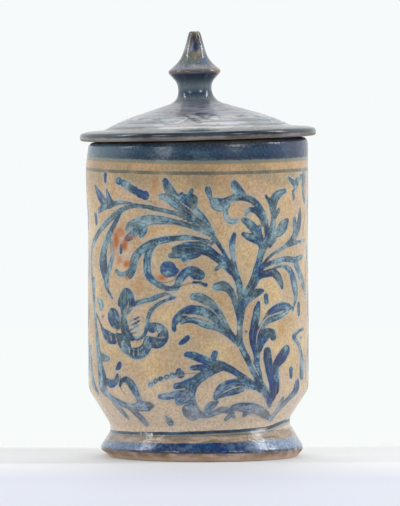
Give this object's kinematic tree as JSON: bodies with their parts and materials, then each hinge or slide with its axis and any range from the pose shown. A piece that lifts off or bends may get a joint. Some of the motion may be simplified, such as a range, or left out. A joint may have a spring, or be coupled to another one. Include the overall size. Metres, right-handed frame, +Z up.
{
  "type": "lidded maiolica jar",
  "caption": "Footed cylindrical storage jar of tin-glazed earthenware with blue scrolling foliage, and a domed lid with a pointed knob that lifts off.",
  "frame": {"origin": "on the axis of the mouth and lid, at the level the foot stands on", "axes": "+Z up from the foot to the knob, +X to the right in the pictured view, which looks along +Y"},
  "size_m": [0.1321, 0.1322, 0.2379],
  "materials": {
    "jar_glaze": "satin buff tin glaze with blue brush painting, bare clay at the bevel it stands on",
    "lid_glaze": "glossy grey-blue wash over tin glaze, with a painted wave scroll"
  },
  "bodies": {
    "jar_body": {"jar": "jar_glaze"},
    "lid_body": {"lid": "lid_glaze"}
  },
  "joints": [
    {"name": "lid_lift", "type": "slide", "parent": "jar_body", "child": "lid_body", "axis": [0, 0, 1], "range_m": [0, 0.12]}
  ]
}
